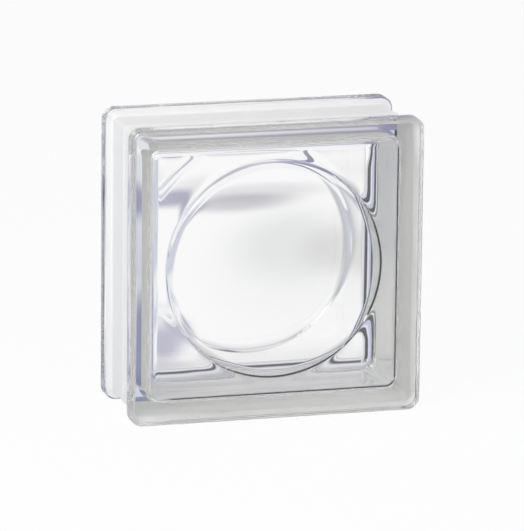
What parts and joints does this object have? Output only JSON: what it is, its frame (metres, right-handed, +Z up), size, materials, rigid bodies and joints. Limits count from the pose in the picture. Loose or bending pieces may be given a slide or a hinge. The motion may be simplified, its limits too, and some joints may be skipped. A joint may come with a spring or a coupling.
{
  "type": "hollow glass block",
  "caption": "Square hollow glass building block: two pressed glass halves fused rim to rim, with a round relief inside each pane and a recessed groove around the edge.",
  "frame": {"origin": "middle of the underside, half way between the two panes, where the fused seam meets the level that the lips stand on", "axes": "+Z up, -Y out of the front pane, +Y out of the back pane, +X to the right when the front pane is seen from outside"},
  "size_m": [0.19, 0.08, 0.19],
  "materials": {
    "clear_glass": "clear pressed glass with a faint green tint, and a white bonding coat in the recessed groove around the edge"
  },
  "bodies": {
    "root": {"front_half": "clear_glass", "back_half": "clear_glass"}
  },
  "joints": []
}
